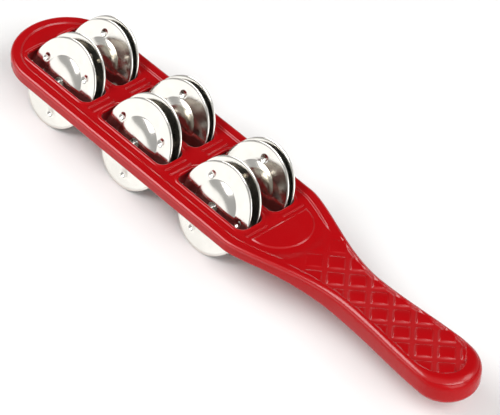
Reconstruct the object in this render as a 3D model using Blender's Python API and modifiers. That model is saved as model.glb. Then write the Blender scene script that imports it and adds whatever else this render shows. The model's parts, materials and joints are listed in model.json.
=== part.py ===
"""Jingle stick: a hand-held tambourine without a hoop.

Two moulded shells make the head and the handle. Three steel pins lie across
the head between the shells, and each pin carries four loose steel jingles,
two in each window. +X runs from the head's tip to the handle's end, +Y across
the head, +Z up out of the top shell. Lengths below are in millimetres and are
turned into metres where the meshes are made.
"""
import math

import bmesh
import bpy
from mathutils import Matrix, Vector

MM = 0.001

# Driving dimensions, in millimetres.
JINGLE_DIAMETER = 46.0
JINGLE_SHEET = 0.7
JINGLE_LEAN = math.radians(30.0)
JINGLE_HOLE = 5.4
JINGLE_DROP = 0.6
DOME_HEIGHT = 2.0
DOME_RADIUS = 13.5
PIN_DIAMETER = 2.0
PIN_LENGTH = 53.0
ROW_PITCH = 58.6
LEFT_PAIR_Y = -10.7
LEFT_PAIR_SPACING = 5.8
RIGHT_PAIR_Y = 11.7
RIGHT_PAIR_SPACING = 3.8
LENGTH = 320.5
HEAD_WIDTH = 57.0
GRIP_WIDTH = 33.0
WAIST_WIDTH = 26.6
TOP_THICKNESS = 1.9
HEAD_THICKNESS = 7.6
HANDLE_THICKNESS = 14.6
SHELL_WALL = 2.4
EDGE_RADIUS = 1.8
HEAD_LOWER_RADIUS = 2.2
GRIP_LOWER_RADIUS = 5.0
WINDOW_LENGTH = 49.0
WINDOW_WIDTH = 15.2
WINDOW_CORNER = 4.5
CENTRE_BAR = 5.2
FIT_GAP = 0.3
CUT_PAST = 2.0
SHARP_ANGLE = math.radians(35.0)

# Section of a jingle: the dome falls to its crease, then the flange is crowned.
SHOULDER_SHARE = 0.5
SHOULDER_HEIGHT = 0.86 * DOME_HEIGHT
SLOPE_SHARE = 0.8
SLOPE_HEIGHT = 0.5 * DOME_HEIGHT
CREASE_HEIGHT = 0.1
CROWN_SHARE = 0.8
CROWN_HEIGHT = 0.3

# Colours of the shells and the steel, linear red, green and blue.
COVER_RED = (0.60, 0.012, 0.020)
TRAY_RED = (0.58, 0.012, 0.020)
BRIGHT_STEEL = (0.78, 0.77, 0.75)
WIRE_STEEL = (0.66, 0.66, 0.66)

# Places that follow from the driving dimensions. X is measured from the middle
# row of jingles and Z from the pins until the last step, which moves the whole
# stick so that its origin is under the middle of its box.
HEAD_HALF = HEAD_WIDTH / 2
GRIP_HALF = GRIP_WIDTH / 2
WAIST_HALF = WAIST_WIDTH / 2
TIP_X = -99.0
END_X = TIP_X + LENGTH
TIP_ARC_X = TIP_X + HEAD_HALF
END_ARC_X = END_X - GRIP_HALF
TAPER_START_X = 82.0
TAPER_LEAD = 0.8
WAIST_X = 148.0
TOP_Z = HEAD_THICKNESS / 2
PARTING_Z = TOP_Z - TOP_THICKNESS
HEAD_BOTTOM_Z = TOP_Z - HEAD_THICKNESS
HANDLE_BOTTOM_Z = TOP_Z - HANDLE_THICKNESS
RAMP_START_X = 100.0
RAMP_END_X = 156.0
JINGLE_RADIUS = JINGLE_DIAMETER / 2
FLANGE_Z = -JINGLE_DROP - DOME_HEIGHT * math.sin(JINGLE_LEAN)
JINGLE_REACH = JINGLE_RADIUS * math.cos(JINGLE_LEAN) + JINGLE_SHEET * math.sin(JINGLE_LEAN)
ORIGIN_SHIFT = Vector((-(TIP_X + END_X) / 2, 0.0, JINGLE_REACH - FLANGE_Z))
ROWS = (-ROW_PITCH, 0.0, ROW_PITCH)
WINDOW_Y = (CENTRE_BAR + WINDOW_WIDTH) / 2
RECESS_INSET = 5.6
RECESS_DEPTH = 0.8
RECESS_END_X = 110.0
PAD_RADIUS = 17.6
PAD_EDGE_X = 89.4
RIB_LENGTH = 11.0
RIB_WIDTH = 1.2
RIB_FROM_WINDOW = 2.2
GRIP_CORE_X = ROW_PITCH + WINDOW_LENGTH / 2 + 2 * SHELL_WALL

# Steps along the curved stretches.
ARC_STEPS = 10
TAPER_STEPS = 9
GRIP_STEPS = 6
EDGE_STEPS = 3
JINGLE_STEPS = 28
PIN_STEPS = 16
CORNER_STEPS = 4


def clear_scene():
    for old in list(bpy.data.objects):
        bpy.data.objects.remove(old, do_unlink=True)


def make_collection(name):
    group = bpy.data.collections.new(name)
    bpy.context.scene.collection.children.link(group)
    return group


def make_material(name, colour, roughness, metallic):
    material = bpy.data.materials.new(name)
    material.use_nodes = True
    shader = material.node_tree.nodes["Principled BSDF"]
    shader.inputs["Base Color"].default_value = (*colour, 1.0)
    shader.inputs["Roughness"].default_value = roughness
    shader.inputs["Metallic"].default_value = metallic
    return material


def ease(start, end, share):
    """Go smoothly from start to end as share goes from 0 to 1."""
    share = min(max(share, 0.0), 1.0)
    return start + (end - start) * share * share * (3 - 2 * share)


def ramp_share(x):
    """0 under the head, 1 under the grip."""
    return (x - RAMP_START_X) / (RAMP_END_X - RAMP_START_X)


def bottom_z(x):
    """Height of the underside: thin under the head, deep under the grip."""
    return ease(HEAD_BOTTOM_Z, HANDLE_BOTTOM_Z, ramp_share(x))


def lower_radius(x):
    """Radius of the lower edge, which is rounder on the grip."""
    return ease(HEAD_LOWER_RADIUS, GRIP_LOWER_RADIUS, ramp_share(x))


def half_outline():
    """Points of the plan outline's +Y half, from the tip to the end."""
    points = []
    for step in range(ARC_STEPS + 1):
        turn = math.pi / 2 * step / ARC_STEPS
        points.append((TIP_ARC_X - HEAD_HALF * math.cos(turn), HEAD_HALF * math.sin(turn)))
    for step in range(TAPER_STEPS + 1):
        share = step / TAPER_STEPS
        x = TAPER_START_X + (WAIST_X - TAPER_START_X) * share
        points.append((x, ease(HEAD_HALF, WAIST_HALF, share**TAPER_LEAD)))
    for step in range(1, GRIP_STEPS + 1):
        share = step / GRIP_STEPS
        x = WAIST_X + (END_ARC_X - WAIST_X) * share
        points.append((x, ease(WAIST_HALF, GRIP_HALF, share)))
    for step in range(1, ARC_STEPS + 1):
        turn = math.pi / 2 * step / ARC_STEPS
        points.append((END_ARC_X + GRIP_HALF * math.sin(turn), GRIP_HALF * math.cos(turn)))
    return points


def inset_outline(inset):
    """The +Y half outline moved inwards by inset(x), square to itself."""
    points = half_outline()
    moved = []
    for index, (x, y) in enumerate(points):
        before = points[max(index - 1, 0)]
        after = points[min(index + 1, len(points) - 1)]
        along = Vector((after[0] - before[0], after[1] - before[1]))
        if index == 0:
            along = Vector((0.0, 1.0))
        if index == len(points) - 1:
            along = Vector((0.0, -1.0))
        along.normalize()
        move = inset(x)
        moved.append((x + move * along.y, max(y - move * along.x, 0.0)))
    return moved


def add_ring(mesh, inset, height):
    """One closed ring of vertices: the +Y side, then the -Y side back."""
    half = inset_outline(inset)
    loop = half + [(x, -y) for x, y in reversed(half[1:-1])]
    return [mesh.verts.new(Vector((x, y, height(x))) * MM) for x, y in loop]


def join_rings(mesh, upper, lower):
    count = len(upper)
    for index in range(count):
        after = (index + 1) % count
        mesh.faces.new((upper[index], lower[index], lower[after], upper[after]))


def close_ring(mesh, ring):
    """Fill a ring with strips that run straight across the stick."""
    count = len(ring)
    mesh.faces.new((ring[0], ring[1], ring[-1]))
    for index in range(1, count // 2 - 1):
        mesh.faces.new((ring[index], ring[index + 1], ring[-index - 1], ring[-index]))
    middle = count // 2
    mesh.faces.new((ring[middle - 1], ring[middle], ring[middle + 1]))


def loft(name, layers, group):
    """A closed solid through rings given as functions of x (inset, height), top first."""
    mesh = bmesh.new()
    rings = [add_ring(mesh, inset, height) for inset, height in layers]
    for upper, lower in zip(rings, rings[1:]):
        join_rings(mesh, upper, lower)
    close_ring(mesh, rings[0])
    close_ring(mesh, rings[-1])
    bmesh.ops.recalc_face_normals(mesh, faces=mesh.faces)
    return mesh_object(name, mesh, group)


def mesh_object(name, mesh, group):
    data = bpy.data.meshes.new(name)
    mesh.to_mesh(data)
    mesh.free()
    made = bpy.data.objects.new(name, data)
    group.objects.link(made)
    return made


def level(value):
    return lambda x: value


def rounded_top():
    """Layers of the rounded top edge, from the flat top down."""
    layers = []
    for step in range(EDGE_STEPS + 1):
        turn = math.pi / 2 * step / EDGE_STEPS
        inset = EDGE_RADIUS * (1 - math.sin(turn))
        layers.append((level(inset), level(TOP_Z - EDGE_RADIUS * (1 - math.cos(turn)))))
    return layers


def rounded_bottom():
    """Layers of the rounded bottom edge, down to the flat underside."""
    layers = []
    for step in range(EDGE_STEPS + 1):
        turn = math.pi / 2 * step / EDGE_STEPS
        rise = 1 - math.sin(turn)
        inset = 1 - math.cos(turn)
        layers.append((
            lambda x, share=inset: share * lower_radius(x),
            lambda x, share=rise: bottom_z(x) + share * lower_radius(x),
        ))
    return layers


def box(name, low, high, group):
    mesh = bmesh.new()
    size = Vector(high) - Vector(low)
    middle = (Vector(high) + Vector(low)) / 2
    place = Matrix.Translation(middle * MM) @ Matrix.Diagonal((*(size * MM), 1.0))
    bmesh.ops.create_cube(mesh, size=1.0, matrix=place)
    return mesh_object(name, mesh, group)


def rounded_window(name, x, y, low_z, high_z, group):
    """A window-shaped prism with rounded corners."""
    made = box(
        name,
        (x - WINDOW_LENGTH / 2, y - WINDOW_WIDTH / 2, low_z),
        (x + WINDOW_LENGTH / 2, y + WINDOW_WIDTH / 2, high_z),
        group,
    )
    mesh = bmesh.new()
    mesh.from_mesh(made.data)
    upright = [edge for edge in mesh.edges if abs(edge.verts[0].co.z - edge.verts[1].co.z) > MM]
    bmesh.ops.bevel(
        mesh,
        geom=upright,
        offset=WINDOW_CORNER * MM,
        segments=CORNER_STEPS,
        profile=0.5,
        affect="EDGES",
    )
    mesh.to_mesh(made.data)
    mesh.free()
    return made


def combine(target, tool, operation):
    change = target.modifiers.new(tool.name, "BOOLEAN")
    change.operation = operation
    change.object = tool
    change.solver = "EXACT"
    tool.hide_render = True
    tool.display_type = "WIRE"


def shade(made, material):
    made.data.materials.append(material)
    made.data.shade_smooth()
    made.data.set_sharp_from_angle(angle=SHARP_ANGLE)


def window_places():
    for x in ROWS:
        for side in (-1, 1):
            yield x, side * WINDOW_Y


def upper_shell(parts, cutters, material):
    """The cover: rounded edge, sunken field, ribs by the windows and a pad."""
    layers = rounded_top()
    layers.append((level(0.0), level(PARTING_Z)))
    shell = loft("upper_shell", layers, parts)
    field_z = TOP_Z - RECESS_DEPTH
    combine(shell, recess_cutter(field_z, cutters), "DIFFERENCE")
    combine(shell, pad_solid(cutters), "UNION")
    for index, x in enumerate(rib_places()):
        for side in (-1, 1):
            name = "rib_%d_%s" % (index, "right" if side > 0 else "left")
            low = (x - RIB_WIDTH / 2, side * WINDOW_Y - RIB_LENGTH / 2, field_z - FIT_GAP)
            high = (x + RIB_WIDTH / 2, side * WINDOW_Y + RIB_LENGTH / 2, TOP_Z)
            combine(shell, box(name, low, high, cutters), "UNION")
    for index, (x, y) in enumerate(window_places()):
        name = "window_top_%d" % index
        tool = rounded_window(name, x, y, PARTING_Z - CUT_PAST, TOP_Z + CUT_PAST, cutters)
        combine(shell, tool, "DIFFERENCE")
    shade(shell, material)
    return shell


def rib_places():
    """X of each rib: one close to both ends of every window, none at the tip."""
    reach = WINDOW_LENGTH / 2 + RIB_FROM_WINDOW
    for x in ROWS:
        if x > ROWS[0]:
            yield x - reach
        yield x + reach


def recess_cutter(field_z, cutters):
    """The sunken field: the outline moved in, ending round before the grip."""
    inset = level(RECESS_INSET)
    tool = loft("recess", [(inset, level(TOP_Z + CUT_PAST)), (inset, level(field_z))], cutters)
    low = (RECESS_END_X, -HEAD_WIDTH, field_z - CUT_PAST)
    high = (END_X + CUT_PAST, HEAD_WIDTH, TOP_Z + 2 * CUT_PAST)
    combine(tool, box("recess_end", low, high, cutters), "DIFFERENCE")
    return tool


def pad_solid(cutters):
    """A half-round raised pad between the last windows and the neck."""
    mesh = bmesh.new()
    points = []
    steps = 2 * ARC_STEPS
    for step in range(steps + 1):
        turn = -math.pi / 2 + math.pi * step / steps
        points.append((PAD_EDGE_X + PAD_RADIUS * math.cos(turn), PAD_RADIUS * math.sin(turn)))
    low_z = TOP_Z - RECESS_DEPTH - FIT_GAP
    base = [mesh.verts.new(Vector((x, y, low_z)) * MM) for x, y in points]
    face = mesh.faces.new(base)
    grown = bmesh.ops.extrude_face_region(mesh, geom=[face])
    for item in grown["geom"]:
        if isinstance(item, bmesh.types.BMVert):
            item.co.z = TOP_Z * MM
    bmesh.ops.recalc_face_normals(mesh, faces=mesh.faces)
    return mesh_object("pad", mesh, cutters)


def lower_shell(parts, cutters, material):
    """The tray: outer wall, window walls and floor, hollow in rails and grip."""
    seam_z = PARTING_Z - FIT_GAP
    layers = [(level(0.0), level(seam_z))] + rounded_bottom()
    shell = loft("lower_shell", layers, parts)
    for tool in core_cutters(seam_z, cutters):
        combine(shell, tool, "DIFFERENCE")
    for index, (x, y) in enumerate(window_places()):
        name = "window_low_%d" % index
        tool = rounded_window(name, x, y, HEAD_BOTTOM_Z - CUT_PAST, seam_z + CUT_PAST, cutters)
        combine(shell, tool, "DIFFERENCE")
    slot_half = PIN_DIAMETER / 2 + FIT_GAP
    for index, x in enumerate(ROWS):
        low = (x - slot_half, -PIN_LENGTH / 2 - FIT_GAP, -slot_half)
        high = (x + slot_half, PIN_LENGTH / 2 + FIT_GAP, seam_z + CUT_PAST)
        combine(shell, box("pin_slot_%d" % index, low, high, cutters), "DIFFERENCE")
    shade(shell, material)
    return shell


def core_cutters(seam_z, cutters):
    """Hollows that keep the wall thickness even: two rails and the grip."""
    rail_low = CENTRE_BAR / 2 + WINDOW_WIDTH + SHELL_WALL
    rail_high = HEAD_HALF - SHELL_WALL
    reach = ROW_PITCH + WINDOW_LENGTH / 2
    floor_z = HEAD_BOTTOM_Z + SHELL_WALL
    for side, name in ((-1, "left"), (1, "right")):
        near, far = sorted((side * rail_low, side * rail_high))
        high = (reach, far, seam_z + CUT_PAST)
        yield box("rail_core_" + name, (-reach, near, floor_z), high, cutters)
    layers = [
        (level(SHELL_WALL), level(seam_z + CUT_PAST)),
        (level(SHELL_WALL), lambda x: bottom_z(x) + SHELL_WALL),
    ]
    core = loft("grip_core", layers, cutters)
    low = (TIP_X - CUT_PAST, -HEAD_WIDTH, HANDLE_BOTTOM_Z - CUT_PAST)
    high = (GRIP_CORE_X, HEAD_WIDTH, TOP_Z + 2 * CUT_PAST)
    combine(core, box("grip_core_end", low, high, cutters), "DIFFERENCE")
    yield core


def pin_keepers(shell, cutters):
    """Small lugs under the cover that hold the pins down in their slots."""
    rail_wall = CENTRE_BAR / 2 + WINDOW_WIDTH
    bearings = (
        ("left", -rail_wall - SHELL_WALL, -rail_wall),
        ("middle", -CENTRE_BAR / 2, CENTRE_BAR / 2),
        ("right", rail_wall, rail_wall + SHELL_WALL),
    )
    half = PIN_DIAMETER / 2
    for index, x in enumerate(ROWS):
        for name, low_y, high_y in bearings:
            low = (x - half, low_y + FIT_GAP, half + FIT_GAP)
            high = (x + half, high_y - FIT_GAP, PARTING_Z + FIT_GAP)
            combine(shell, box("keeper_%d_%s" % (index, name), low, high, cutters), "UNION")


def jingle_section():
    """Section of the pressed sheet as (radius, height): outer face, then inner."""
    outer = [
        (JINGLE_HOLE / 2, DOME_HEIGHT),
        (DOME_RADIUS * SHOULDER_SHARE, SHOULDER_HEIGHT),
        (DOME_RADIUS * SLOPE_SHARE, SLOPE_HEIGHT),
        (DOME_RADIUS, CREASE_HEIGHT),
        (JINGLE_RADIUS * CROWN_SHARE, CROWN_HEIGHT),
        (JINGLE_RADIUS, 0.0),
    ]
    inner = [(radius, height - JINGLE_SHEET) for radius, height in reversed(outer)]
    return outer + inner


def jingle_mesh():
    """The closed section as a loop of edges, ready for the Screw modifier."""
    mesh = bmesh.new()
    loop = [mesh.verts.new(Vector((radius, 0.0, height)) * MM) for radius, height in jingle_section()]
    for index, vert in enumerate(loop):
        mesh.edges.new((vert, loop[(index + 1) % len(loop)]))
    data = bpy.data.meshes.new("jingle")
    mesh.to_mesh(data)
    mesh.free()
    return data


def turn_round(made, steps):
    screw = made.modifiers.new("turn", "SCREW")
    screw.axis = "Z"
    screw.angle = 2 * math.pi
    screw.steps = steps
    screw.render_steps = steps
    screw.use_merge_vertices = True
    screw.merge_threshold = 0.00001
    screw.use_smooth_shade = True


def jingles(parts, material):
    """Two jingles in each window, side by side on the pin, all leaning back."""
    data = jingle_mesh()
    data.materials.append(material)
    outward = Vector((0.0, -math.cos(JINGLE_LEAN), math.sin(JINGLE_LEAN)))
    facing = outward.to_track_quat("Z", "Y").to_euler()
    pairs = (
        ("left", LEFT_PAIR_Y, LEFT_PAIR_SPACING),
        ("right", RIGHT_PAIR_Y, RIGHT_PAIR_SPACING),
    )
    for row, x in enumerate(ROWS, start=1):
        for side_name, middle_y, spacing in pairs:
            for place, place_name in ((-1, "front"), (1, "back")):
                name = "jingle_%d_%s_%s" % (row, side_name, place_name)
                made = bpy.data.objects.new(name, data)
                made.location = Vector((x, middle_y + place * spacing / 2, FLANGE_Z)) * MM
                made.rotation_euler = facing
                parts.objects.link(made)
                turn_round(made, JINGLE_STEPS)


def pins(parts, material):
    """One steel pin for each row, lying across the head."""
    for row, x in enumerate(ROWS, start=1):
        mesh = bmesh.new()
        bmesh.ops.create_cone(
            mesh,
            cap_ends=True,
            segments=PIN_STEPS,
            radius1=PIN_DIAMETER / 2 * MM,
            radius2=PIN_DIAMETER / 2 * MM,
            depth=PIN_LENGTH * MM,
        )
        made = mesh_object("jingle_pin_%d" % row, mesh, parts)
        made.location = Vector((x, 0.0, 0.0)) * MM
        made.rotation_euler = (math.pi / 2, 0.0, 0.0)
        shade(made, material)


def set_origin():
    """Put the world's origin under the middle of the whole stick's box."""
    for made in bpy.data.objects:
        made.location += ORIGIN_SHIFT * MM


def build():
    clear_scene()
    parts = make_collection("jingle_stick")
    cutters = make_collection("cutters")
    red_abs = make_material("red_abs", COVER_RED, 0.22, 0.0)
    dark_red_abs = make_material("red_abs_lower", TRAY_RED, 0.22, 0.0)
    polished_steel = make_material("polished_steel", BRIGHT_STEEL, 0.12, 1.0)
    pin_steel = make_material("pin_steel", WIRE_STEEL, 0.25, 1.0)
    pin_keepers(upper_shell(parts, cutters, red_abs), cutters)
    lower_shell(parts, cutters, dark_red_abs)
    pins(parts, pin_steel)
    jingles(parts, polished_steel)
    set_origin()


build()
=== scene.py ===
"""Looks of the jingle stick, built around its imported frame.

Two glossy red shells, three steel pins and twelve pressed steel jingles. Work
is in millimetres in the stick's own frame: X from the middle pin towards the
handle's end, Y across the head, Z up from the pins. place() turns it into the
frame's metres.
"""
import json
import math

import bmesh
import bpy
import numpy as np
from mathutils import Matrix, Vector, kdtree
from mathutils.geometry import delaunay_2d_cdt


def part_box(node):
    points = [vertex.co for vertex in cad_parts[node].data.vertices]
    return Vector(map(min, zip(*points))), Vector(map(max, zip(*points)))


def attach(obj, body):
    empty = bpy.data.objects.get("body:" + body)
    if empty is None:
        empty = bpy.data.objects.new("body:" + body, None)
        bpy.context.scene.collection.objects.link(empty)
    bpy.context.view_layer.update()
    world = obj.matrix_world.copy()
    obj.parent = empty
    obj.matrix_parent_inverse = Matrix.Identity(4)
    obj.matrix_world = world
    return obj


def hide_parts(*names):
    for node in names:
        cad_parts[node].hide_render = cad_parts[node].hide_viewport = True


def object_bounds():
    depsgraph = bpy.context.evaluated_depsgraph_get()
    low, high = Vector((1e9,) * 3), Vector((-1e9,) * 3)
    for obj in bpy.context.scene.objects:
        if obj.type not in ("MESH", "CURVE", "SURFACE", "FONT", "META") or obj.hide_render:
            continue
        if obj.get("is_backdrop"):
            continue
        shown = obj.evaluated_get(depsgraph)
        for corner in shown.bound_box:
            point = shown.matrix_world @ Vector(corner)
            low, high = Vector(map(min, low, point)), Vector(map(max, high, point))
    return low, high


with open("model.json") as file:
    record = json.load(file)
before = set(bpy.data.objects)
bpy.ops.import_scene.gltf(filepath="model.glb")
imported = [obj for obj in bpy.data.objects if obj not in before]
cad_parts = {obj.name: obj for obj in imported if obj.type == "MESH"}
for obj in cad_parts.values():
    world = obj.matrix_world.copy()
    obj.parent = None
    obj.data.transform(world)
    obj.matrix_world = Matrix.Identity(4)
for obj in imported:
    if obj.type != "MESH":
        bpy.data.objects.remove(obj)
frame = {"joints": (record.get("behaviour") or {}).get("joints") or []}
CAD_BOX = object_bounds()

MM = 0.001

# The frame gives the pins' level and the shells' ends.
PIN_LOW, PIN_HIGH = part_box("jingle_pin_2")
SHELL_LOW, SHELL_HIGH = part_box("upper_shell")
ORIGIN = Vector(((PIN_LOW.x + PIN_HIGH.x) / 2, 0.0, (PIN_LOW.z + PIN_HIGH.z) / 2))
TIP_X = (SHELL_LOW.x - ORIGIN.x) / MM
END_X = (SHELL_HIGH.x - ORIGIN.x) / MM
TOP_Z = (SHELL_HIGH.z - ORIGIN.z) / MM
HEAD_HALF = SHELL_HIGH.y / MM

# Plan of the stick.
GRIP_HALF = 16.5
WAIST_HALF = 13.3
TIP_ARC_X = TIP_X + HEAD_HALF
END_ARC_X = END_X - GRIP_HALF
TAPER_START_X = 82.0
TAPER_LEAD = 0.8
WAIST_X = 148.0

# Thickness.
PARTING_Z = TOP_Z - 1.9
SEAM_GAP = 0.05
SEAM_BREAK = 0.06
PIN_PLAY = 0.3
HEAD_BOTTOM_Z = TOP_Z - 7.6
HANDLE_BOTTOM_Z = TOP_Z - 14.6
RAMP_START_X = 100.0
RAMP_END_X = 156.0
SHELL_WALL = 2.4
CORE_SETBACK = 2.0
HEAD_LOWER_RADIUS = 2.2
GRIP_LOWER_RADIUS = 5.0

# Windows.
ROW_PITCH = 58.6
ROWS = (-ROW_PITCH, 0.0, ROW_PITCH)
WINDOW_LENGTH = 49.0
WINDOW_WIDTH = 15.2
WINDOW_CORNER = 4.5
CENTRE_BAR = 5.2
WINDOW_Y = (CENTRE_BAR + WINDOW_WIDTH) / 2
LIP_HEIGHT = 0.3
LIP_WIDTH = 1.0
LIP_EDGE = 0.45

# Rounded top edge as (reach inwards, fall): tight on the head, fuller on the grip
# and soft at the end. Where it falls further than the cover it runs on below.
COVER_DROP = 1.8
HEAD_EDGE = (1.8, 1.8)
GRIP_EDGE = (3.2, 3.6)
END_EDGE = (6.8, 5.2)
END_EDGE_START_X = END_ARC_X - 8.0
END_EDGE_LENGTH = 20.0
WALL_LEAD = 1.0

# Rim and sunken field of the cover.
RIM_WIDTH = 4.9
RIM_STEP = 1.2
FIELD_DEPTH = 0.9
NECK_FADE_START = 19.5
NECK_FADE = 7.0
NECK_RISE = 12.0

# Pad and ribs of the cover.
PAD_X = 89.4
PAD_RADIUS = 17.6
PAD_EDGE = 1.3
PAD_RISE = 0.65
RIB_HALF = 0.75
RIB_SIDE = 0.45
RIB_PAIR_HALF = 1.9
RIB_END_X = 87.0
RIB_LOW_Y = 5.6
RIB_HIGH_Y = 17.6

# Diamond relief of the grip.
DIAMOND_PITCH = 10.6
DIAMOND_U = 0.18 * DIAMOND_PITCH
DIAMOND_V = 0.68 * DIAMOND_PITCH
GROOVE_DEPTH = 1.2
GROOVE_FLOOR = 0.7
GROOVE_SIDE = 1.25
PILLOW = 0.8
RELIEF_START_X = 106.0
RELIEF_FULL_X = 140.0
RELIEF_BORDER = 2.9
RELIEF_SHIFT = 0.8
RELIEF_END_BORDER = 7.4
RELIEF_END_START_X = END_ARC_X - 6.0
RELIEF_END_LENGTH = 14.0
RELIEF_BLEND = 1.1
GRIP_FIELD_DEPTH = 0.35

# Jingles and pins.
JINGLE_RADIUS = 23.0
JINGLE_SHEET = 0.7
JINGLE_LEAN = math.radians(30.0)
JINGLE_HOLE = 2.7
DOME_HEIGHT = 2.0
DOME_RADIUS = 13.8
DOME_ROUNDNESS = 3.5
CREASE_HEIGHT = 0.35
RIM_HEIGHT = -0.05
RIM_TURN = 0.25
RIM_TURN_WIDTH = 1.2
HOLE_EDGE = 0.3
DIMPLES = 3
DIMPLE_PLACE = 16.3
DIMPLE_RADIUS = 2.2
DIMPLE_DEPTH = 0.8
PIN_RADIUS = 1.0
PIN_END_ROUND = 0.3
PIN_CENTRE = 0.05

# Cutters reach this far past what they cut.
CUT_PAST = 2.0

# Fineness of the meshes. Shares run across a rounded or sloping stretch; the finer
# steps lie where it bends most.
OUTLINE_STEP = 0.1
RING_STEP = 10
FILL_STEP = 1.6
NORMAL_STEP = 0.02
CORNER_STEPS = 12
STRAIGHT_STEP = 1.1
ROW_RATIO = 0.87
POINT_GAP = 0.12
EDGE_CLEAR = 0.015
FILL_CLEAR = 0.5
EDGE_TURNS = (12, 24, 36, 48, 60, 75, 90)
RIM_SHARES = (-0.25, 0.0, 0.15, 0.3, 0.5, 0.7, 0.85, 1.0, 1.3)
SILL_STEPS = (0.02, 0.08, 0.2, 0.45, 1.0, 1.3, 1.6, 2.0)
PAD_SHARES = (-0.2, 0.0, 0.25, 0.5, 0.75, 1.0, 1.3)
PAD_ARC_STEPS = 70
PAD_EDGE_STEPS = 45
RIB_STEPS_X = np.array([-1.2, -0.95, -0.75, -0.6, -0.45, -0.3, 0.0, 0.3, 0.45, 0.6, 0.75, 0.95, 1.2])
RIB_STEPS_END = np.array([0.0, 0.3, 0.45, 0.6, 0.75, 0.9, 1.2])
RIB_STEP_Y = 0.8
GROOVE_STEPS = np.array([0.0, 0.4, 0.8, 0.98, 1.15, 1.32, 1.5, 1.68, 1.85, 2.02, 2.3, 3.0, 4.1])
BORDER_SHARES = (0.0, 0.25, 0.5, 0.75, 1.0)
WALL_SHARES = (0.1, 0.25, 0.4, 0.6, 0.8, 1.0)
FOOT_TURNS = range(0, 91, 9)
SHARP_ANGLE = math.radians(32)
JINGLE_STEPS = 180
PIN_STEPS = 40
# Bands of rings on a jingle, as (start, end, rings) from the dome's edge.
JINGLE_BANDS = ((-1.4, 0.4, 8), (0.6, 5.1, 19), (5.5, 7.6, 5))


def place(x, y, z):
    return ORIGIN + Vector((x, y, z)) * MM


def ease(start, end, share):
    """Go smoothly from start to end as share goes from 0 to 1."""
    share = np.clip(share, 0.0, 1.0)
    return start + (end - start) * share * share * (3 - 2 * share)


def quarter_round(share):
    """Fall of a quarter round: 1 at its foot where share is 0, 0 at its top."""
    left = 1 - np.clip(share, 0.0, 1.0)
    return 1 - np.sqrt(np.maximum(1 - left * left, 0.0))


# ---------------------------------------------------------------- outline

def half_outline():
    """Fine points of the plan outline's +Y half, from the tip to the end."""
    turn = np.arange(0, math.pi / 2, OUTLINE_STEP / HEAD_HALF)
    x = [TIP_ARC_X - HEAD_HALF * np.cos(turn)]
    y = [HEAD_HALF * np.sin(turn)]
    x.append(np.arange(TIP_ARC_X, TAPER_START_X, OUTLINE_STEP))
    y.append(np.full(len(x[-1]), HEAD_HALF))
    x.append(np.arange(TAPER_START_X, WAIST_X, OUTLINE_STEP))
    share = (x[-1] - TAPER_START_X) / (WAIST_X - TAPER_START_X)
    y.append(ease(HEAD_HALF, WAIST_HALF, share**TAPER_LEAD))
    x.append(np.arange(WAIST_X, END_ARC_X, OUTLINE_STEP))
    y.append(ease(WAIST_HALF, GRIP_HALF, (x[-1] - WAIST_X) / (END_ARC_X - WAIST_X)))
    turn = np.arange(0, math.pi / 2, OUTLINE_STEP / GRIP_HALF)
    x.append(END_ARC_X + GRIP_HALF * np.sin(turn))
    y.append(GRIP_HALF * np.cos(turn))
    x.append(np.array([END_X]))
    y.append(np.array([0.0]))
    return np.stack([np.concatenate(x), np.concatenate(y)], axis=1)


def whole_outline():
    """The outline as a loop of points, with the inward direction at each."""
    half = half_outline()
    mirrored = half[-2:0:-1] * (1, -1)
    loop = np.concatenate([half, mirrored])
    along = np.roll(loop, -1, axis=0) - np.roll(loop, 1, axis=0)
    along /= np.linalg.norm(along, axis=1)[:, None]
    inward = np.stack([along[:, 1], -along[:, 0]], axis=1)
    return loop, inward


OUTLINE, INWARD = whole_outline()


def ring_numbers():
    """Which outline points a ring uses, the same on both sides of the stick."""
    last = len(OUTLINE) // 2
    side = list(range(0, last - RING_STEP // 2, RING_STEP)) + [last]
    return side + [len(OUTLINE) - number for number in side[-2:0:-1]]


RING = ring_numbers()


def outline_tree():
    tree = kdtree.KDTree(len(OUTLINE))
    for index, (x, y) in enumerate(OUTLINE):
        tree.insert((x, y, 0.0), index)
    tree.balance()
    return tree


OUTLINE_TREE = outline_tree()


def inset_of(points):
    """Distance in from the outline at each point, and its nearest outline point."""
    nearest = [OUTLINE_TREE.find((x, y, 0.0))[1] for x, y in points]
    return np.sum((points - OUTLINE[nearest]) * INWARD[nearest], axis=1), nearest


def outline_ring(inset):
    """Points of the outline moved inwards by inset, a number or an array."""
    move = np.broadcast_to(inset, len(OUTLINE))[:, None]
    return (OUTLINE + INWARD * move)[RING]


# ---------------------------------------------------------------- cover relief

def edge_round(x):
    """Reach inwards and fall of the rounded top edge along the stick."""
    grip = ease(0.0, 1.0, (x - RAMP_START_X) / (WAIST_X - RAMP_START_X))
    end = ease(0.0, 1.0, (x - END_EDGE_START_X) / END_EDGE_LENGTH)
    sizes = zip(HEAD_EDGE, GRIP_EDGE, END_EDGE)
    return [head + (near - head) * grip + (far - near) * end for head, near, far in sizes]


def edge_inset(x, drop):
    """How far in the rounded edge lies where it has fallen by drop."""
    reach, fall = edge_round(x)
    left = 1 - np.clip(drop / fall, 0.0, 1.0)
    return reach * (1 - np.sqrt(1 - left * left))


SEAM_INSET = edge_inset(OUTLINE[:, 0], COVER_DROP)


def window_distance(x, y):
    """Distance outside the nearest window's rounded outline."""
    row = np.clip(np.round(x / ROW_PITCH), -1, 1) * ROW_PITCH
    over_x = np.abs(x - row) - (WINDOW_LENGTH / 2 - WINDOW_CORNER)
    over_y = np.abs(np.abs(y) - WINDOW_Y) - (WINDOW_WIDTH / 2 - WINDOW_CORNER)
    outside = np.hypot(np.maximum(over_x, 0.0), np.maximum(over_y, 0.0))
    return outside + np.minimum(np.maximum(over_x, over_y), 0.0) - WINDOW_CORNER


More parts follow.
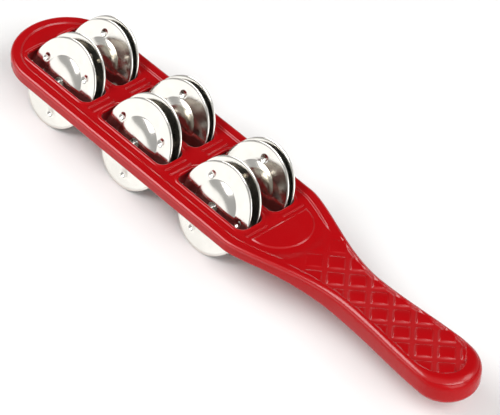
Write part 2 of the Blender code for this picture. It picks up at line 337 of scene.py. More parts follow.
def field_share(x, y, inset):
    """1 in the sunken field, 0 on the rim and the handle."""
    reach = np.hypot(np.maximum(x - PAD_X, 0.0), y)
    neck = 1 - ease(0.0, 1.0, (reach - NECK_FADE_START) / NECK_FADE)
    neck = np.where(x > PAD_X, neck, 1.0)
    rise = ease(0.0, 1.0, (x - PAD_X) / NECK_RISE)
    neck = 1 + (neck - 1) * rise
    return ease(0.0, 1.0, (inset - RIM_WIDTH) / RIM_STEP) * neck


def pad_height(x, y):
    """The half-round pad, raised almost to the rim's level."""
    within = np.minimum(PAD_RADIUS - np.hypot(x - PAD_X, y), x - PAD_X)
    return PAD_RISE * ease(0.0, 1.0, within / PAD_EDGE)


def rib_places():
    for bar_x in (-ROW_PITCH / 2, ROW_PITCH / 2):
        yield bar_x - RIB_PAIR_HALF
        yield bar_x + RIB_PAIR_HALF
    yield RIB_END_X


def rib_height(x, y):
    """Short upright ribs on the bars between the windows."""
    height = np.zeros(len(x))
    from_middle = np.abs(np.abs(y) - (RIB_LOW_Y + RIB_HIGH_Y) / 2)
    over_y = np.maximum(from_middle - (RIB_HIGH_Y - RIB_LOW_Y) / 2, 0.0)
    for rib_x in rib_places():
        away = np.hypot(x - rib_x, over_y)
        height = np.maximum(height, ease(1.0, 0.0, (away - RIB_HALF + RIB_SIDE) / RIB_SIDE))
    return height * FIELD_DEPTH


def groove_share(across, start):
    """1 on a groove's floor, 0 on the diamonds beside it."""
    away = np.abs((across - start + DIAMOND_PITCH / 2) % DIAMOND_PITCH - DIAMOND_PITCH / 2)
    return ease(1.0, 0.0, (away - GROOVE_FLOOR) / GROOVE_SIDE), away


def relief_border(x, y):
    """How far in from the outline the relief starts."""
    side = RELIEF_BORDER - RELIEF_SHIFT * np.clip(y / GRIP_HALF, -1.0, 1.0)
    return ease(side, RELIEF_END_BORDER, (x - RELIEF_END_START_X) / RELIEF_END_LENGTH)


def relief(x, y, inset):
    """Depth of the diamond pattern below the grip's face, and its groove share."""
    u_share, u_away = groove_share((x + y) / math.sqrt(2), DIAMOND_U)
    v_share, v_away = groove_share((x - y) / math.sqrt(2), DIAMOND_V)
    share = 1 - (1 - u_share) * (1 - v_share)
    half = DIAMOND_PITCH / 2
    pillow = PILLOW * ((1 - u_away / half) ** 2 + (1 - v_away / half) ** 2)
    fade = ease(0.0, 1.0, (x - RELIEF_START_X) / (RELIEF_FULL_X - RELIEF_START_X))
    fade = fade * ease(0.0, 1.0, (inset - relief_border(x, y)) / RELIEF_BLEND)
    return (GRIP_FIELD_DEPTH + GROOVE_DEPTH * share + pillow * (1 - share)) * fade, share * fade


def cover_height(x, y, inset):
    """Height of the cover's face at each point."""
    reach, fall = edge_round(x)
    edge = fall * quarter_round(inset / reach)
    field = field_share(x, y, inset)
    window = window_distance(x, y)
    lip = LIP_HEIGHT * ease(1.0, 0.0, (window - LIP_WIDTH) / LIP_WIDTH) * field
    sill = LIP_EDGE * quarter_round(window / LIP_EDGE)
    raised = np.maximum(pad_height(x, y), rib_height(x, y)) * field
    sunk = np.minimum(FIELD_DEPTH * field - raised, FIELD_DEPTH)
    return TOP_Z - edge - sunk + np.where(raised > 0, 0.0, lip) - sill - relief(x, y, inset)[0]


def cover_normal(x, y, inset, inward):
    """The face's true direction at each point, from its slopes."""
    step = NORMAL_STEP
    ahead = cover_height(x + step, y, inset + step * inward[:, 0])
    behind = cover_height(x - step, y, inset - step * inward[:, 0])
    left = cover_height(x, y + step, inset + step * inward[:, 1])
    right = cover_height(x, y - step, inset - step * inward[:, 1])
    slopes = [(behind - ahead) / (2 * step), (right - left) / (2 * step), np.ones(len(x))]
    normal = np.stack(slopes, axis=1)
    return normal / np.linalg.norm(normal, axis=1)[:, None]


# ---------------------------------------------------------------- cover mesh

def window_ring(x, y, grow):
    """Points round one window's outline moved out by grow."""
    corner = WINDOW_CORNER + grow
    half_x = WINDOW_LENGTH / 2 + grow
    half_y = WINDOW_WIDTH / 2 + grow
    points = []
    for quarter in range(4):
        turn = quarter * math.pi / 2
        side_x = 1 if quarter in (0, 3) else -1
        side_y = 1 if quarter in (0, 1) else -1
        middle = (side_x * (half_x - corner), side_y * (half_y - corner))
        for step in range(CORNER_STEPS + 1):
            angle = turn + math.pi / 2 * step / CORNER_STEPS
            points.append((middle[0] + corner * math.cos(angle), middle[1] + corner * math.sin(angle)))
    return fill_gaps(np.array(points)) + (x, y)


def fill_gaps(loop):
    """The loop with points added along its straight stretches."""
    filled = []
    for start, end in zip(loop, np.roll(loop, -1, axis=0)):
        count = max(int(np.linalg.norm(end - start) / STRAIGHT_STEP), 1)
        filled += [start + (end - start) * step / count for step in range(count)]
    return np.array(filled)


def window_places():
    for x in ROWS:
        for side in (-1, 1):
            yield x, side * WINDOW_Y


def ring_shares():
    """Where rings lie across a quarter round, as shares of its width."""
    return [1 - math.cos(math.radians(turn)) for turn in EDGE_TURNS]


def feature_points():
    """Points along every edge and fold of the cover, finest first."""
    reach, _ = edge_round(OUTLINE[:, 0])
    sets = [outline_ring(reach * share) for share in ring_shares()]
    rim = [RIM_WIDTH + RIM_STEP * share for share in RIM_SHARES]
    sets += [ring[ring[:, 0] < RAMP_END_X] for ring in map(outline_ring, rim)]
    for x, y in window_places():
        sets += [window_ring(x, y, grow) for grow in SILL_STEPS]
    sets += [pad_ring(share * PAD_EDGE) for share in PAD_SHARES]
    for rib_x in rib_places():
        sets += [rib_points(rib_x, side) for side in (-1, 1)]
    sets += list(border_rings())
    sets.append(relief_points())
    return sets


def pad_ring(inset):
    """Points along the pad's outline moved in by inset."""
    turns = np.linspace(-math.pi / 2, math.pi / 2, PAD_ARC_STEPS)
    radius = PAD_RADIUS - inset
    arc = np.stack([PAD_X + radius * np.cos(turns), radius * np.sin(turns)], axis=1)
    edge_y = np.linspace(-radius, radius, PAD_EDGE_STEPS)
    edge = np.stack([np.full(PAD_EDGE_STEPS, PAD_X + inset), edge_y], axis=1)
    arc = arc[arc[:, 0] > PAD_X + inset]
    return np.concatenate([arc, edge])


def rib_points(rib_x, side):
    """A grid over one rib, close together on its sides and ends."""
    steps_y = np.concatenate([
        RIB_LOW_Y - RIB_STEPS_END[::-1],
        np.arange(RIB_LOW_Y + RIB_STEP_Y, RIB_HIGH_Y - RIB_STEP_Y / 2, RIB_STEP_Y),
        RIB_HIGH_Y + RIB_STEPS_END,
    ])
    grid_x, grid_y = np.meshgrid(rib_x + RIB_STEPS_X, side * steps_y)
    return np.stack([grid_x.ravel(), grid_y.ravel()], axis=1)


def relief_points():
    """A grid along the grooves, close together on their sides."""
    steps = np.concatenate([-GROOVE_STEPS[:0:-1], GROOVE_STEPS, [DIAMOND_PITCH / 2]])
    count = int((END_X + HEAD_HALF) / math.sqrt(2) / DIAMOND_PITCH) + 2
    periods = np.arange(count) * DIAMOND_PITCH
    along_u = (periods[:, None] + DIAMOND_U + steps).ravel()
    along_v = (periods[:, None] + DIAMOND_V + steps).ravel()
    u, v = np.meshgrid(along_u, along_v)
    points = np.stack([(u + v).ravel() / math.sqrt(2), (u - v).ravel() / math.sqrt(2)], axis=1)
    keep = (points[:, 0] > RELIEF_START_X) & (points[:, 0] < END_X)
    return points[keep & (np.abs(points[:, 1]) < HEAD_HALF)]


def border_rings():
    """Rings along the relief's border, where the grip's field sinks."""
    border = relief_border(OUTLINE[:, 0], OUTLINE[:, 1])
    for share in BORDER_SHARES:
        ring = outline_ring(border + share * RELIEF_BLEND)
        yield ring[ring[:, 0] > RELIEF_START_X]


def fill_points():
    """Plain filling between the features, in staggered rows."""
    rows = []
    for index, y in enumerate(np.arange(-HEAD_HALF, HEAD_HALF, FILL_STEP * ROW_RATIO)):
        x = np.arange(TIP_X, END_X, FILL_STEP) + (index % 2) * FILL_STEP / 2
        rows.append(np.stack([x, np.full(len(x), y)], axis=1))
    return np.concatenate(rows)


def thin_out(sets, gap):
    """One list of points in which later sets keep clear of the earlier ones."""
    taken = set()
    kept = []
    for points in sets:
        cells = [(int(round(x / gap)), int(round(y / gap))) for x, y in points]
        fresh = [p for p, cell in zip(points, cells) if cell not in taken]
        taken.update(cells)
        kept += fresh
    return np.array(kept)


def inside_cover(points, margin):
    inset, nearest = inset_of(points)
    in_edge = inset - SEAM_INSET[nearest] > margin
    return in_edge & (window_distance(points[:, 0], points[:, 1]) > margin)


def loop_edges(first, count):
    return [(first + index, first + (index + 1) % count) for index in range(count)]


def cover_plan():
    """Triangles of the cover seen from above, with all its folds followed."""
    loops = [outline_ring(SEAM_INSET)] + [window_ring(x, y, 0.0) for x, y in window_places()]
    edges = []
    first = 0
    for loop in loops:
        edges += loop_edges(first, len(loop))
        first += len(loop)
    features = [points[inside_cover(points, EDGE_CLEAR)] for points in feature_points()]
    fine = thin_out(features, POINT_GAP)
    filling = fill_points()
    filling = filling[inside_cover(filling, FILL_CLEAR)]
    inner = merge_fill(fine, filling)
    points = np.concatenate(loops + [inner])
    verts, _, faces, _, _, _ = delaunay_2d_cdt([Vector(p) for p in points], edges, [], 0, 1e-6)
    flat = np.array([(v.x, v.y) for v in verts])
    corners = np.array(faces)
    corners = corners[inside_cover(flat[corners].mean(axis=1), 0.0)]
    used, renumbered = np.unique(corners, return_inverse=True)
    return flat[used], renumbered.reshape(-1, 3)


def merge_fill(fine, filling):
    """The fine points, and the filling points that lie clear of them."""
    tree = kdtree.KDTree(len(fine))
    for index, (x, y) in enumerate(fine):
        tree.insert((x, y, 0.0), index)
    tree.balance()
    clear = [p for p in filling if tree.find((p[0], p[1], 0.0))[2] > FILL_STEP * 0.5]
    return np.concatenate([fine, np.array(clear)])


def new_object(name, data):
    made = bpy.data.objects.new(name, data)
    bpy.context.scene.collection.objects.link(made)
    return made


def close_below(mesh, low_z):
    """Close an open face sheet with a wall down to low_z and a flat underside."""
    rim = [edge for edge in mesh.edges if edge.is_boundary]
    grown = bmesh.ops.extrude_edge_only(mesh, edges=rim)
    lower = [item for item in grown["geom"] if isinstance(item, bmesh.types.BMVert)]
    for vert in lower:
        vert.co.z = place(0.0, 0.0, low_z).z
    foot = [edge for edge in mesh.edges if edge.is_boundary]
    bmesh.ops.triangle_fill(mesh, edges=foot, use_beauty=True)
    bmesh.ops.recalc_face_normals(mesh, faces=mesh.faces)


def cover():
    """The cover: a face sheet with relief, its walls and its underside."""
    flat, corners = cover_plan()
    inset, nearest = inset_of(flat)
    inset = np.maximum(inset, 0.0)
    height = cover_height(flat[:, 0], flat[:, 1], inset)
    face_normal = cover_normal(flat[:, 0], flat[:, 1], inset + NORMAL_STEP, INWARD[nearest])
    mesh = bmesh.new()
    verts = [mesh.verts.new(place(x, y, z)) for (x, y), z in zip(flat, height)]
    for corner in corners:
        mesh.faces.new([verts[index] for index in corner])
    close_below(mesh, PARTING_Z)
    data = bpy.data.meshes.new("cover")
    mesh.to_mesh(data)
    mesh.free()
    data.shade_smooth()
    set_cover_normals(data, face_normal)
    store_share(data, relief(flat[:, 0], flat[:, 1], inset)[1])
    made = new_object("cover", data)
    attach(made, "frame")
    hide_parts("upper_shell")
    return made


def set_cover_normals(data, face_normal):
    """True directions on the face, square ones on the walls and the underside."""
    corner_vert = np.zeros(len(data.loops), int)
    data.loops.foreach_get("vertex_index", corner_vert)
    plain = np.zeros(len(data.polygons) * 3)
    data.polygons.foreach_get("normal", plain)
    counts = np.zeros(len(data.polygons), int)
    data.polygons.foreach_get("loop_total", counts)
    owner = np.repeat(np.arange(len(counts)), counts)
    normals = plain.reshape(-1, 3)[owner]
    starts = np.r_[0, np.cumsum(counts)[:-1]]
    on_face = np.logical_and.reduceat(corner_vert < len(face_normal), starts)[owner]
    normals[on_face] = face_normal[corner_vert[on_face]]
    data.normals_split_custom_set(normals.tolist())


def store_share(data, share):
    """Keep how deep in a groove each point lies, for the finish."""
    layer = data.attributes.new("groove", "FLOAT", "POINT")
    values = np.zeros(len(data.vertices), np.float32)
    values[:len(share)] = share
    layer.data.foreach_set("value", values)


# ---------------------------------------------------------------- tray

def ramp_share(x):
    return (x - RAMP_START_X) / (RAMP_END_X - RAMP_START_X)


def bottom_z(x):
    """Height of the underside: thin under the head, deep under the grip."""
    return ease(HEAD_BOTTOM_Z, HANDLE_BOTTOM_Z, ramp_share(x))


def lower_radius(x):
    return ease(HEAD_LOWER_RADIUS, GRIP_LOWER_RADIUS, ramp_share(x))


def add_ring(mesh, inset, z):
    """A closed ring of vertices at an inset and a height, numbers or arrays."""
    move = np.broadcast_to(inset, len(OUTLINE))[:, None]
    plan = (OUTLINE + INWARD * move)[RING]
    heights = np.broadcast_to(z, len(OUTLINE))[RING]
    return [mesh.verts.new(place(x, y, height)) for (x, y), height in zip(plan, heights)]


def join_rings(mesh, upper, lower):
    for index in range(len(upper)):
        after = (index + 1) % len(upper)
        mesh.faces.new((upper[index], lower[index], lower[after], upper[after]))


def close_ring(mesh, ring):
    """Fill a ring with strips that run straight across the stick."""
    mesh.faces.new((ring[0], ring[1], ring[-1]))
    middle = len(ring) // 2
    for near in range(1, middle - 1):
        mesh.faces.new((ring[near], ring[near + 1], ring[-near - 1], ring[-near]))
    mesh.faces.new((ring[middle - 1], ring[middle], ring[middle + 1]))


def loft(name, layers):
    """A closed solid through rings given as (inset, height), top first."""
    mesh = bmesh.new()
    rings = [add_ring(mesh, inset, z) for inset, z in layers]
    for upper, lower in zip(rings, rings[1:]):
        join_rings(mesh, upper, lower)
    close_ring(mesh, rings[0])
    close_ring(mesh, rings[-1])
    bmesh.ops.recalc_face_normals(mesh, faces=mesh.faces)
    data = bpy.data.meshes.new(name)
    mesh.to_mesh(data)
    mesh.free()
    return new_object(name, data)


def block(name, low, high):
    """A plain block, used only to cut with."""
    mesh = bmesh.new()
    corners = [Vector(low), Vector(high)]
    size = (corners[1] - corners[0]) * MM
    middle = place(*((corners[0] + corners[1]) / 2))
    spot = Matrix.Translation(middle) @ Matrix.Diagonal((*size, 1.0))
    bmesh.ops.create_cube(mesh, size=1.0, matrix=spot)
    data = bpy.data.meshes.new(name)
    mesh.to_mesh(data)
    mesh.free()
    return new_object(name, data)


def window_block(name, x, y):
    """A window's opening as a solid, a little taller than the tray."""
    mesh = bmesh.new()
    loop = window_ring(x, y, 0.0)
    base = [mesh.verts.new(place(px, py, HEAD_BOTTOM_Z - CUT_PAST)) for px, py in loop]
    grown = bmesh.ops.extrude_face_region(mesh, geom=[mesh.faces.new(base)])
    for item in grown["geom"]:
        if isinstance(item, bmesh.types.BMVert):
            item.co.z = place(0, 0, TOP_Z + CUT_PAST).z
    bmesh.ops.recalc_face_normals(mesh, faces=mesh.faces)
    data = bpy.data.meshes.new(name)
    mesh.to_mesh(data)
    mesh.free()
    return new_object(name, data)


def cut_away(target, tools):
    """Cut the tools out of the target and remove them."""
    for tool in tools:
        change = target.modifiers.new(tool.name, "BOOLEAN")
        change.operation = "DIFFERENCE"
        change.object = tool
        change.solver = "EXACT"
    view = bpy.context.evaluated_depsgraph_get()
    data = bpy.data.meshes.new_from_object(target.evaluated_get(view))
    target.modifiers.clear()
    target.data = data
    for tool in tools:
        bpy.data.objects.remove(tool, do_unlink=True)


def tray_layers():
    """Outside of the tray: a broken top edge, the rest of the rounded top edge, the
    wall and the round underside."""
    x = OUTLINE[:, 0]
    seam_drop = TOP_Z - PARTING_Z + SEAM_GAP
    seam_z = TOP_Z - seam_drop
    start = edge_inset(x, seam_drop)
    rest = np.maximum(edge_round(x)[1] - seam_drop, WALL_LEAD)
    layers = [(start + SEAM_BREAK, seam_z), (start + SEAM_BREAK / 4, seam_z - SEAM_BREAK / 4)]
    for share in WALL_SHARES:
        drop = seam_drop + share * rest
        layers.append((edge_inset(x, drop), TOP_Z - drop))
    for turn in FOOT_TURNS:
        inset = 1 - math.cos(math.radians(turn))
        rise = 1 - math.sin(math.radians(turn))
        layers.append((inset * lower_radius(x), bottom_z(x) + rise * lower_radius(x)))
    return layers


def grip_core():
    """The hollow inside the handle, ending behind the last windows."""
    x = OUTLINE[:, 0]
    top = PARTING_Z + CUT_PAST
    core = loft("grip_core", [(SHELL_WALL, top), (SHELL_WALL, bottom_z(x) + SHELL_WALL)])
    head_end = ROW_PITCH + WINDOW_LENGTH / 2 + SHELL_WALL + CORE_SETBACK
    low = (TIP_X - CUT_PAST, -2 * HEAD_HALF, HANDLE_BOTTOM_Z - CUT_PAST)
    cut_away(core, [block("grip_core_end", low, (head_end, 2 * HEAD_HALF, top + CUT_PAST))])
    return core


def tray_tools():
    """Everything cut out of the tray: rail hollows, grip hollow, windows, slots."""
    rail_low = CENTRE_BAR / 2 + WINDOW_WIDTH + SHELL_WALL
    reach = ROW_PITCH + WINDOW_LENGTH / 2
    for side in (-1, 1):
        near, far = sorted((side * rail_low, side * (HEAD_HALF - SHELL_WALL)))
        low = (-reach, near, HEAD_BOTTOM_Z + SHELL_WALL)
        yield block("rail_core_%d" % side, low, (reach, far, PARTING_Z + CUT_PAST))
    yield grip_core()
    for x, y in window_places():
        yield window_block("window_%d_%d" % (x, y), x, y)
    slot = PIN_RADIUS + PIN_PLAY
    half = pin_half() + PIN_PLAY
    for x in ROWS:
        yield block("pin_slot_%d" % x, (x - slot, -half, -slot), (x + slot, half, PARTING_Z + CUT_PAST))


def pin_half():
    """Half a pin's length."""
    return (PIN_HIGH.y - PIN_LOW.y) / 2 / MM


def store_window_wall_shade(data):
    """Keep which faces line the windows, where the finish paints shade and puts a duller gloss."""
    layer = data.attributes.new("inner", "FLOAT", "CORNER")
    for face in data.polygons:
        x, y, _ = (face.center - ORIGIN) / MM
        if window_distance(x, y) < SHELL_WALL / 2:
            for corner in face.loop_indices:
                layer.data[corner].value = 1.0


def tray():
    """The lower shell: outer wall, window walls and floor."""
    made = loft("tray", tray_layers())
    cut_away(made, list(tray_tools()))
    made.data.shade_smooth()
    made.data.set_sharp_from_angle(angle=SHARP_ANGLE)
    store_window_wall_shade(made.data)
    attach(made, "frame")
    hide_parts("lower_shell")
    return made


# ---------------------------------------------------------------- turned pieces

def dome_height(radius):
    """Outer face of the pressed jingle: a dome, a crease and a flange that falls
    away to a rim turned in a little."""
    dome = DOME_HEIGHT - (DOME_HEIGHT - CREASE_HEIGHT) * (radius / DOME_RADIUS) ** DOME_ROUNDNESS
    share = (radius - DOME_RADIUS) / (JINGLE_RADIUS - DOME_RADIUS)
    flange = CREASE_HEIGHT + (RIM_HEIGHT - CREASE_HEIGHT) * np.clip(share, 0.0, 1.0)
    turned_in = RIM_TURN * np.clip((radius - JINGLE_RADIUS) / RIM_TURN_WIDTH + 1, 0.0, 1.0) ** 2
    return np.where(radius < DOME_RADIUS, dome, flange - turned_in)


def jingle_section():
    """Section of the sheet as (radius, height) all the way round."""
    reach = JINGLE_RADIUS - JINGLE_SHEET / 2
    bands = [np.linspace(DOME_RADIUS + start, DOME_RADIUS + end, rings) for start, end, rings in JINGLE_BANDS]
    dome = np.linspace(JINGLE_HOLE + HOLE_EDGE, DOME_RADIUS - 1.8, 16)
    flange = np.linspace(DOME_RADIUS + 8.0, reach, 4)
    radii = np.concatenate([dome] + bands + [flange])
    height = dome_height(radii)
    turns = np.linspace(0, math.pi, 7)[1:-1]
    half = JINGLE_SHEET / 2
    rim = [(reach + half * math.sin(t), height[-1] - half + half * math.cos(t)) for t in turns]
    hole = [(radii[0] - HOLE_EDGE * math.sin(t), height[0] - half - half * math.cos(t)) for t in turns]
    outer = list(zip(radii, height))
    inner = [(r, h - JINGLE_SHEET) for r, h in reversed(outer)]
    return outer + rim + inner + hole


def dimple(x, y):
    """Depth of the pressed dimples at a point of the jingle."""
    depth = 0.0
    for number in range(DIMPLES):
        turn = 2 * math.pi * number / DIMPLES
        away = math.hypot(x - DIMPLE_PLACE * math.cos(turn), y - DIMPLE_PLACE * math.sin(turn))
        depth += DIMPLE_DEPTH * max(1 - (away / DIMPLE_RADIUS) ** 2, 0.0) ** 1.5
    return depth


def revolve(name, section, steps, sink=lambda x, y: 0.0):
    """Turn a closed section round Z, sinking its surface where sink says."""
    mesh = bmesh.new()
    rings = []
    for radius, z in section:
        ring = []
        for step in range(steps):
            turn = 2 * math.pi * step / steps
            x, y = radius * math.cos(turn), radius * math.sin(turn)
            ring.append(mesh.verts.new(Vector((x, y, z - sink(x, y))) * MM))
        rings.append(ring)
    for ring, after in zip(rings, rings[1:] + rings[:1]):
        for step in range(steps):
            turn = (step + 1) % steps
            mesh.faces.new((ring[step], after[step], after[turn], ring[turn]))
    bmesh.ops.recalc_face_normals(mesh, faces=mesh.faces)
    data = bpy.data.meshes.new(name)
    mesh.to_mesh(data)
    mesh.free()
    data.shade_smooth()
    return data


# How far each jingle is turned on its pin, in degrees, row by row.
JINGLE_TURNS = {
    "left_front": (37.0, 34.0, 5.0),
    "left_back": (70.0, 10.0, 95.0),
    "right_front": (105.0, 97.0, 91.0),
    "right_back": (5.0, 65.0, 40.0),
}


def jingles(finish):
    """The twelve jingles, each leaning on its pin and turned its own way."""
    outward = Vector((0.0, -math.cos(JINGLE_LEAN), math.sin(JINGLE_LEAN)))
    across = Vector((1.0, 0.0, 0.0))
    facing = Matrix((across, outward.cross(across), outward)).transposed().to_4x4()
    centres = {joint["child"]: Vector(joint["pos_m"]) for joint in frame["joints"]}
    for spot, turns in JINGLE_TURNS.items():
        for row, turn in enumerate(turns, start=1):
            node = "jingle_%d_%s" % (row, spot)
            data = revolve("pressed_" + node, jingle_section(), JINGLE_STEPS, dimple)
            keep_own_place(data)
            spin = Matrix.Rotation(math.radians(turn), 4, "Z")
            data.transform(Matrix.Translation(centres[node]) @ facing @ spin)
            data.materials.append(finish)
            made = new_object("pressed_" + node, data)
            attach(made, node)
            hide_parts(node)


def keep_own_place(data):
    """Keep each point's place on the turned piece itself, for the finish."""
    layer = data.attributes.new("own_place", "FLOAT_VECTOR", "POINT")
    places = np.zeros(len(data.vertices) * 3, np.float32)
    data.vertices.foreach_get("co", places)
    layer.data.foreach_set("vector", places)


def pin_section():
    """Half section of a pin with its ends rounded over."""
    half = pin_half()
    turns = np.linspace(0, math.pi / 2, 5)
    end = [(PIN_RADIUS - PIN_END_ROUND * (1 - math.sin(t)), half - PIN_END_ROUND * (1 - math.cos(t)))
           for t in turns]
    top = [(PIN_CENTRE, half)] + end
    straight = half - PIN_END_ROUND - 0.1
    body = [(PIN_RADIUS, z) for z in np.linspace(straight, -straight, 40)]
    return top + body + [(r, -z) for r, z in reversed(top)]


def pins(finish):
    """A drawn steel pin across the head for each row."""
    for row, x in enumerate(ROWS, start=1):
        data = revolve("drawn_pin_%d" % row, pin_section(), PIN_STEPS)
        keep_own_place(data)
        data.transform(Matrix.Translation(place(x, 0, 0)) @ Matrix.Rotation(math.pi / 2, 4, "X"))
        data.materials.append(finish)
        made = new_object("drawn_pin_%d" % row, data)
        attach(made, "frame")
        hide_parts("jingle_pin_%d" % row)


# ---------------------------------------------------------------- finishes

def colour(code):
    """A linear colour from an sRGB hex code."""
    shares = [int(code[start:start + 2], 16) / 255 for start in (1, 3, 5)]
    linear = [s / 12.92 if s <= 0.04045 else ((s + 0.055) / 1.055) ** 2.4 for s in shares]
    return (*linear, 1.0)


def per_length(length):
    """A pattern scale that repeats about once in a length in millimetres."""
    return 1.0 / (length * MM)


def start_finish(name):
    finish = bpy.data.materials.new(name)
    finish.use_nodes = True
    finish.node_tree.nodes.clear()
    return finish


def add(finish, kind, inputs, **settings):
    """Add a node: inputs are its sockets by name or number, each with a value or
    another node's output to link, and settings are the node's own."""
    made = finish.node_tree.nodes.new(kind)
    for name, value in settings.items():
        setattr(made, name, value)
    for name, value in inputs.items():
        if isinstance(value, bpy.types.NodeSocket):
            finish.node_tree.links.new(value, made.inputs[name])
        else:
            made.inputs[name].default_value = value
    return made


def moulded_abs(name, plain, deep, shine):
    """Injection-moulded ABS, gloss tool: clean saturated colour, a tight clear
    gloss with a faint orange peel, a duller eroded texture in the grooves, and a
    duller gloss with painted shade darkening the walls that line the windows."""
    finish = start_finish(name)
    where = add(finish, "ShaderNodeTexCoord", {}).outputs["Object"]
    groove = add(finish, "ShaderNodeAttribute", {}, attribute_name="groove").outputs["Fac"]
    clouds = add(finish, "ShaderNodeTexNoise", {"Vector": where, "Scale": per_length(35.0)})
    base = add(finish, "ShaderNodeMix", {0: clouds.outputs[0], 6: colour(plain), 7: colour(deep)},
               data_type="RGBA")
    # Painted shade: the walls that line the windows are mixed to a dark #5A0306.
    inner = add(finish, "ShaderNodeAttribute", {}, attribute_name="inner").outputs["Fac"]
    wall_shaded = add(finish, "ShaderNodeMix", {0: inner, 6: base.outputs[2], 7: colour("#5A0306")},
                data_type="RGBA")
    smears = add(finish, "ShaderNodeTexNoise", {"Vector": where, "Scale": per_length(9.0), "Detail": 4.0})
    handled = add(finish, "ShaderNodeMapRange", {
        "Value": smears.outputs[0],
        1: 0.3,
        2: 0.7,
        3: 0.16,
        4: 0.24,
    })
    dull = add(finish, "ShaderNodeMath", {0: groove, 1: inner}, operation="MAXIMUM")
    rough = add(finish, "ShaderNodeMix", {0: dull.outputs[0], 2: handled.outputs[0], 3: 0.42},
                data_type="FLOAT")
    peel = add(finish, "ShaderNodeTexNoise", {"Vector": where, "Scale": per_length(2.2), "Detail": 1.0})
    # The real eroded grain is about 0.1 mm. It is drawn coarser, so that it shows.
    eroded = add(finish, "ShaderNodeTexNoise", {"Vector": where, "Scale": per_length(0.35)})
    grain = add(finish, "ShaderNodeMath", {0: eroded.outputs[0], 1: groove}, operation="MULTIPLY")
    height = add(finish, "ShaderNodeMath", {0: grain.outputs[0], 1: 0.35, 2: peel.outputs[0]},
                 operation="MULTIPLY_ADD")
    bump = add(finish, "ShaderNodeBump", {
        "Strength": 0.25,
        "Distance": 0.02 * MM,
        "Height": height.outputs[0],
    })
    shader = add(finish, "ShaderNodeBsdfPrincipled", {
        "Base Color": wall_shaded.outputs[2],
        "Roughness": rough.outputs[0],
        "IOR": 1.54,
        "Specular IOR Level": shine,
        "Normal": bump.outputs["Normal"],
    })
    add(finish, "ShaderNodeOutputMaterial", {"Surface": shader.outputs["BSDF"]})
    return finish


def pressed_steel():
    """Steel sheet, pressed and nickel polished: a soft mirror with faint spun
    rings from the polishing wheel and slightly cloudy, handled patches."""
    finish = start_finish("pressed_polished_steel")
    where = add(finish, "ShaderNodeAttribute", {}, attribute_name="own_place").outputs["Vector"]
    flat = add(finish, "ShaderNodeVectorMath", {0: where, 1: (1.0, 1.0, 0.0)}, operation="MULTIPLY")
    radius = add(finish, "ShaderNodeVectorMath", {0: flat.outputs[0]}, operation="LENGTH")
    # The real polishing lines are under 0.1 mm apart. They are drawn coarser, so that they show.
    rings = add(finish, "ShaderNodeTexNoise", {"W": radius.outputs["Value"], "Scale": per_length(0.45)},
                noise_dimensions="1D")
    clouds = add(finish, "ShaderNodeTexNoise", {"Vector": where, "Scale": per_length(6.0), "Detail": 3.0})
    tint = add(finish, "ShaderNodeMix", {0: clouds.outputs[0], 6: colour("#E4E1DB"), 7: colour("#DAD7D0")},
               data_type="RGBA")
    rough = add(finish, "ShaderNodeMapRange", {"Value": clouds.outputs[0], 1: 0.3, 2: 0.7, 3: 0.12, 4: 0.17})
    bump = add(finish, "ShaderNodeBump", {
        "Strength": 0.12,
        "Distance": 0.01 * MM,
        "Height": rings.outputs["Fac"],
    })
    shader = add(finish, "ShaderNodeBsdfPrincipled", {
        "Base Color": tint.outputs[2],
        "Metallic": 1.0,
        "Roughness": rough.outputs[0],
        "Normal": bump.outputs["Normal"],
    })
    add(finish, "ShaderNodeOutputMaterial", {"Surface": shader.outputs["BSDF"]})
    return finish


def drawn_wire():
    """Drawn steel wire: bright grey with fine lines along its length."""
    finish = start_finish("drawn_steel_wire")
    where = add(finish, "ShaderNodeAttribute", {}, attribute_name="own_place").outputs["Vector"]
    long = add(finish, "ShaderNodeMapping", {"Vector": where, "Scale": (1.0, 1.0, 0.05)})
    # The real drawing lines are a few hundredths of a millimetre apart, and are drawn coarser too.
    lines = add(finish, "ShaderNodeTexNoise", {"Vector": long.outputs["Vector"], "Scale": per_length(0.15)})
    rough = add(finish, "ShaderNodeMapRange", {"Value": lines.outputs[0], 1: 0.3, 2: 0.7, 3: 0.2, 4: 0.32})
    bump = add(finish, "ShaderNodeBump", {
        "Strength": 0.3,
        "Distance": 0.01 * MM,
        "Height": lines.outputs[0],
    })
    shader = add(finish, "ShaderNodeBsdfPrincipled", {
        "Base Color": colour("#C9C8C6"),
        "Metallic": 1.0,
        "Roughness": rough.outputs[0],
        "Normal": bump.outputs["Normal"],
    })
    add(finish, "ShaderNodeOutputMaterial", {"Surface": shader.outputs["BSDF"]})
    return finish


def painted_table():
    """Matt white lacquered board: even and pale, hardly any gloss."""
    finish = start_finish("matt_white_board")
    where = add(finish, "ShaderNodeTexCoord", {}).outputs["Object"]
    clouds = add(finish, "ShaderNodeTexNoise", {"Vector": where, "Scale": per_length(400.0)})
    tint = add(finish, "ShaderNodeMix", {0: clouds.outputs[0], 6: colour("#EEEEED"), 7: colour("#EBEBEA")},
               data_type="RGBA")
    shader = add(finish, "ShaderNodeBsdfPrincipled", {"Base Color": tint.outputs[2], "Roughness": 0.9})
    add(finish, "ShaderNodeOutputMaterial", {"Surface": shader.outputs["BSDF"]})
    return finish


# ---------------------------------------------------------------- stage

FLOOR_HALF = 3.0


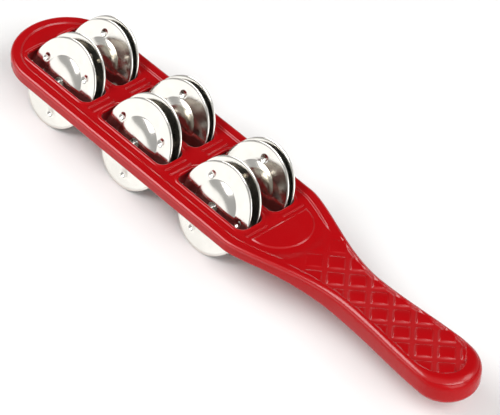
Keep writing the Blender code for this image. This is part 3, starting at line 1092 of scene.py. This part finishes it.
def floor():
    """A wide pale board under the jingles' rims."""
    mesh = bmesh.new()
    bmesh.ops.create_grid(mesh, x_segments=4, y_segments=4, size=FLOOR_HALF)
    data = bpy.data.meshes.new("floor")
    mesh.to_mesh(data)
    mesh.free()
    made = new_object("floor", data)
    made.data.materials.append(painted_table())
    made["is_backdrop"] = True


def softbox(name, direction, distance, size, power):
    """A rectangular diffused light at a distance, turned to the stick."""
    lamp = bpy.data.lights.new(name, "AREA")
    lamp.shape = "RECTANGLE"
    lamp.size, lamp.size_y = size
    lamp.energy = power
    made = bpy.data.objects.new(name, lamp)
    bpy.context.scene.collection.objects.link(made)
    away = Vector(direction).normalized()
    made.location = away * distance
    made.rotation_euler = away.to_track_quat("Z", "Y").to_euler()


DARK_SIDE = Vector((-0.54, 0.50, 0.68)).normalized()
DARK_REACH = math.radians(62)
DARK_CORE = math.radians(30)
ROOM_GLOW = 0.48
DARK_GLOW = 0.04


def room():
    """An even pale room with one dark side, so that flat tops stay free of glare."""
    world = bpy.data.worlds.new("pale_room")
    world.use_nodes = True
    tree = world.node_tree
    where = tree.nodes.new("ShaderNodeTexCoord").outputs["Generated"]
    towards = tree.nodes.new("ShaderNodeVectorMath")
    towards.operation = "DOT_PRODUCT"
    towards.inputs[1].default_value = DARK_SIDE
    glow = tree.nodes.new("ShaderNodeMapRange")
    glow.interpolation_type = "SMOOTHSTEP"
    limits = (math.cos(DARK_REACH), math.cos(DARK_CORE), ROOM_GLOW, DARK_GLOW)
    for number, value in enumerate(limits, start=1):
        glow.inputs[number].default_value = value
    tree.links.new(where, towards.inputs[0])
    tree.links.new(towards.outputs["Value"], glow.inputs["Value"])
    tree.links.new(glow.outputs["Result"], tree.nodes["Background"].inputs["Strength"])
    tree.nodes["Background"].inputs["Color"].default_value = (1.0, 1.0, 1.0, 1.0)
    bpy.context.scene.world = world
    bpy.context.scene.view_settings.view_transform = "Standard"


def lights():
    """A large key from the right, a strip of highlights from the upper left, low
    pale panels for the jingles to mirror, and two weak lights from behind."""
    softbox("right_softbox", (0.95, -0.10, 0.70), 2.4, (1.8, 1.8), 45.0)
    softbox("left_softbox", (-0.56, -0.38, 0.74), 1.7, (1.6, 0.7), 21.0)
    softbox("back_right_softbox", (0.45, 0.50, 0.70), 2.0, (0.8, 0.8), 6.0)
    softbox("back_left_softbox", (-0.65, 0.61, 0.18), 1.7, (1.6, 0.45), 3.2)
    softbox("front_left_panel", (-0.54, -0.80, 0.15), 1.6, (2.4, 0.48), 3.5)


CAMERA_AZIMUTH = math.radians(46.849)
CAMERA_ELEVATION = math.radians(42.600)
CAMERA_ROLL = math.radians(3.245)
CAMERA_DISTANCE = 1.4989
CAMERA_LENS = 226.4
CAMERA_AIM = (70.19, -1.0, 0.0)


def camera():
    """A long lens from the front right, above, rolled a little."""
    lens = bpy.data.cameras.new("camera")
    lens.lens = CAMERA_LENS
    lens.sensor_width = 36.0
    lens.clip_end = 20.0
    made = bpy.data.objects.new("camera", lens)
    bpy.context.scene.collection.objects.link(made)
    level = Vector((math.sin(CAMERA_AZIMUTH), -math.cos(CAMERA_AZIMUTH), 0.0))
    back = level * math.cos(CAMERA_ELEVATION) + Vector((0.0, 0.0, math.sin(CAMERA_ELEVATION)))
    right = Vector((math.cos(CAMERA_AZIMUTH), math.sin(CAMERA_AZIMUTH), 0.0))
    facing = Matrix((right, back.cross(right), back)).transposed().to_4x4()
    spot = Matrix.Translation(place(*CAMERA_AIM) + back * CAMERA_DISTANCE)
    made.matrix_world = spot @ facing @ Matrix.Rotation(CAMERA_ROLL, 4, "Z")
    bpy.context.scene.camera = made


def corners(box):
    """A box's two corners as plain lists."""
    return [list(corner) for corner in box]


def build():
    camera()
    room()
    lights()
    floor()
    cover().data.materials.append(moulded_abs("moulded_red_abs", "#AA050B", "#A2050C", 0.5))
    # The tray's reds are a touch deeper than the cover's: painted shade on its walls.
    tray().data.materials.append(moulded_abs("moulded_red_abs_tray", "#A8050B", "#A0050C", 0.16))
    jingles(pressed_steel())
    pins(drawn_wire())


build()
{"cad": corners(CAD_BOX), "visual": corners(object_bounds())}
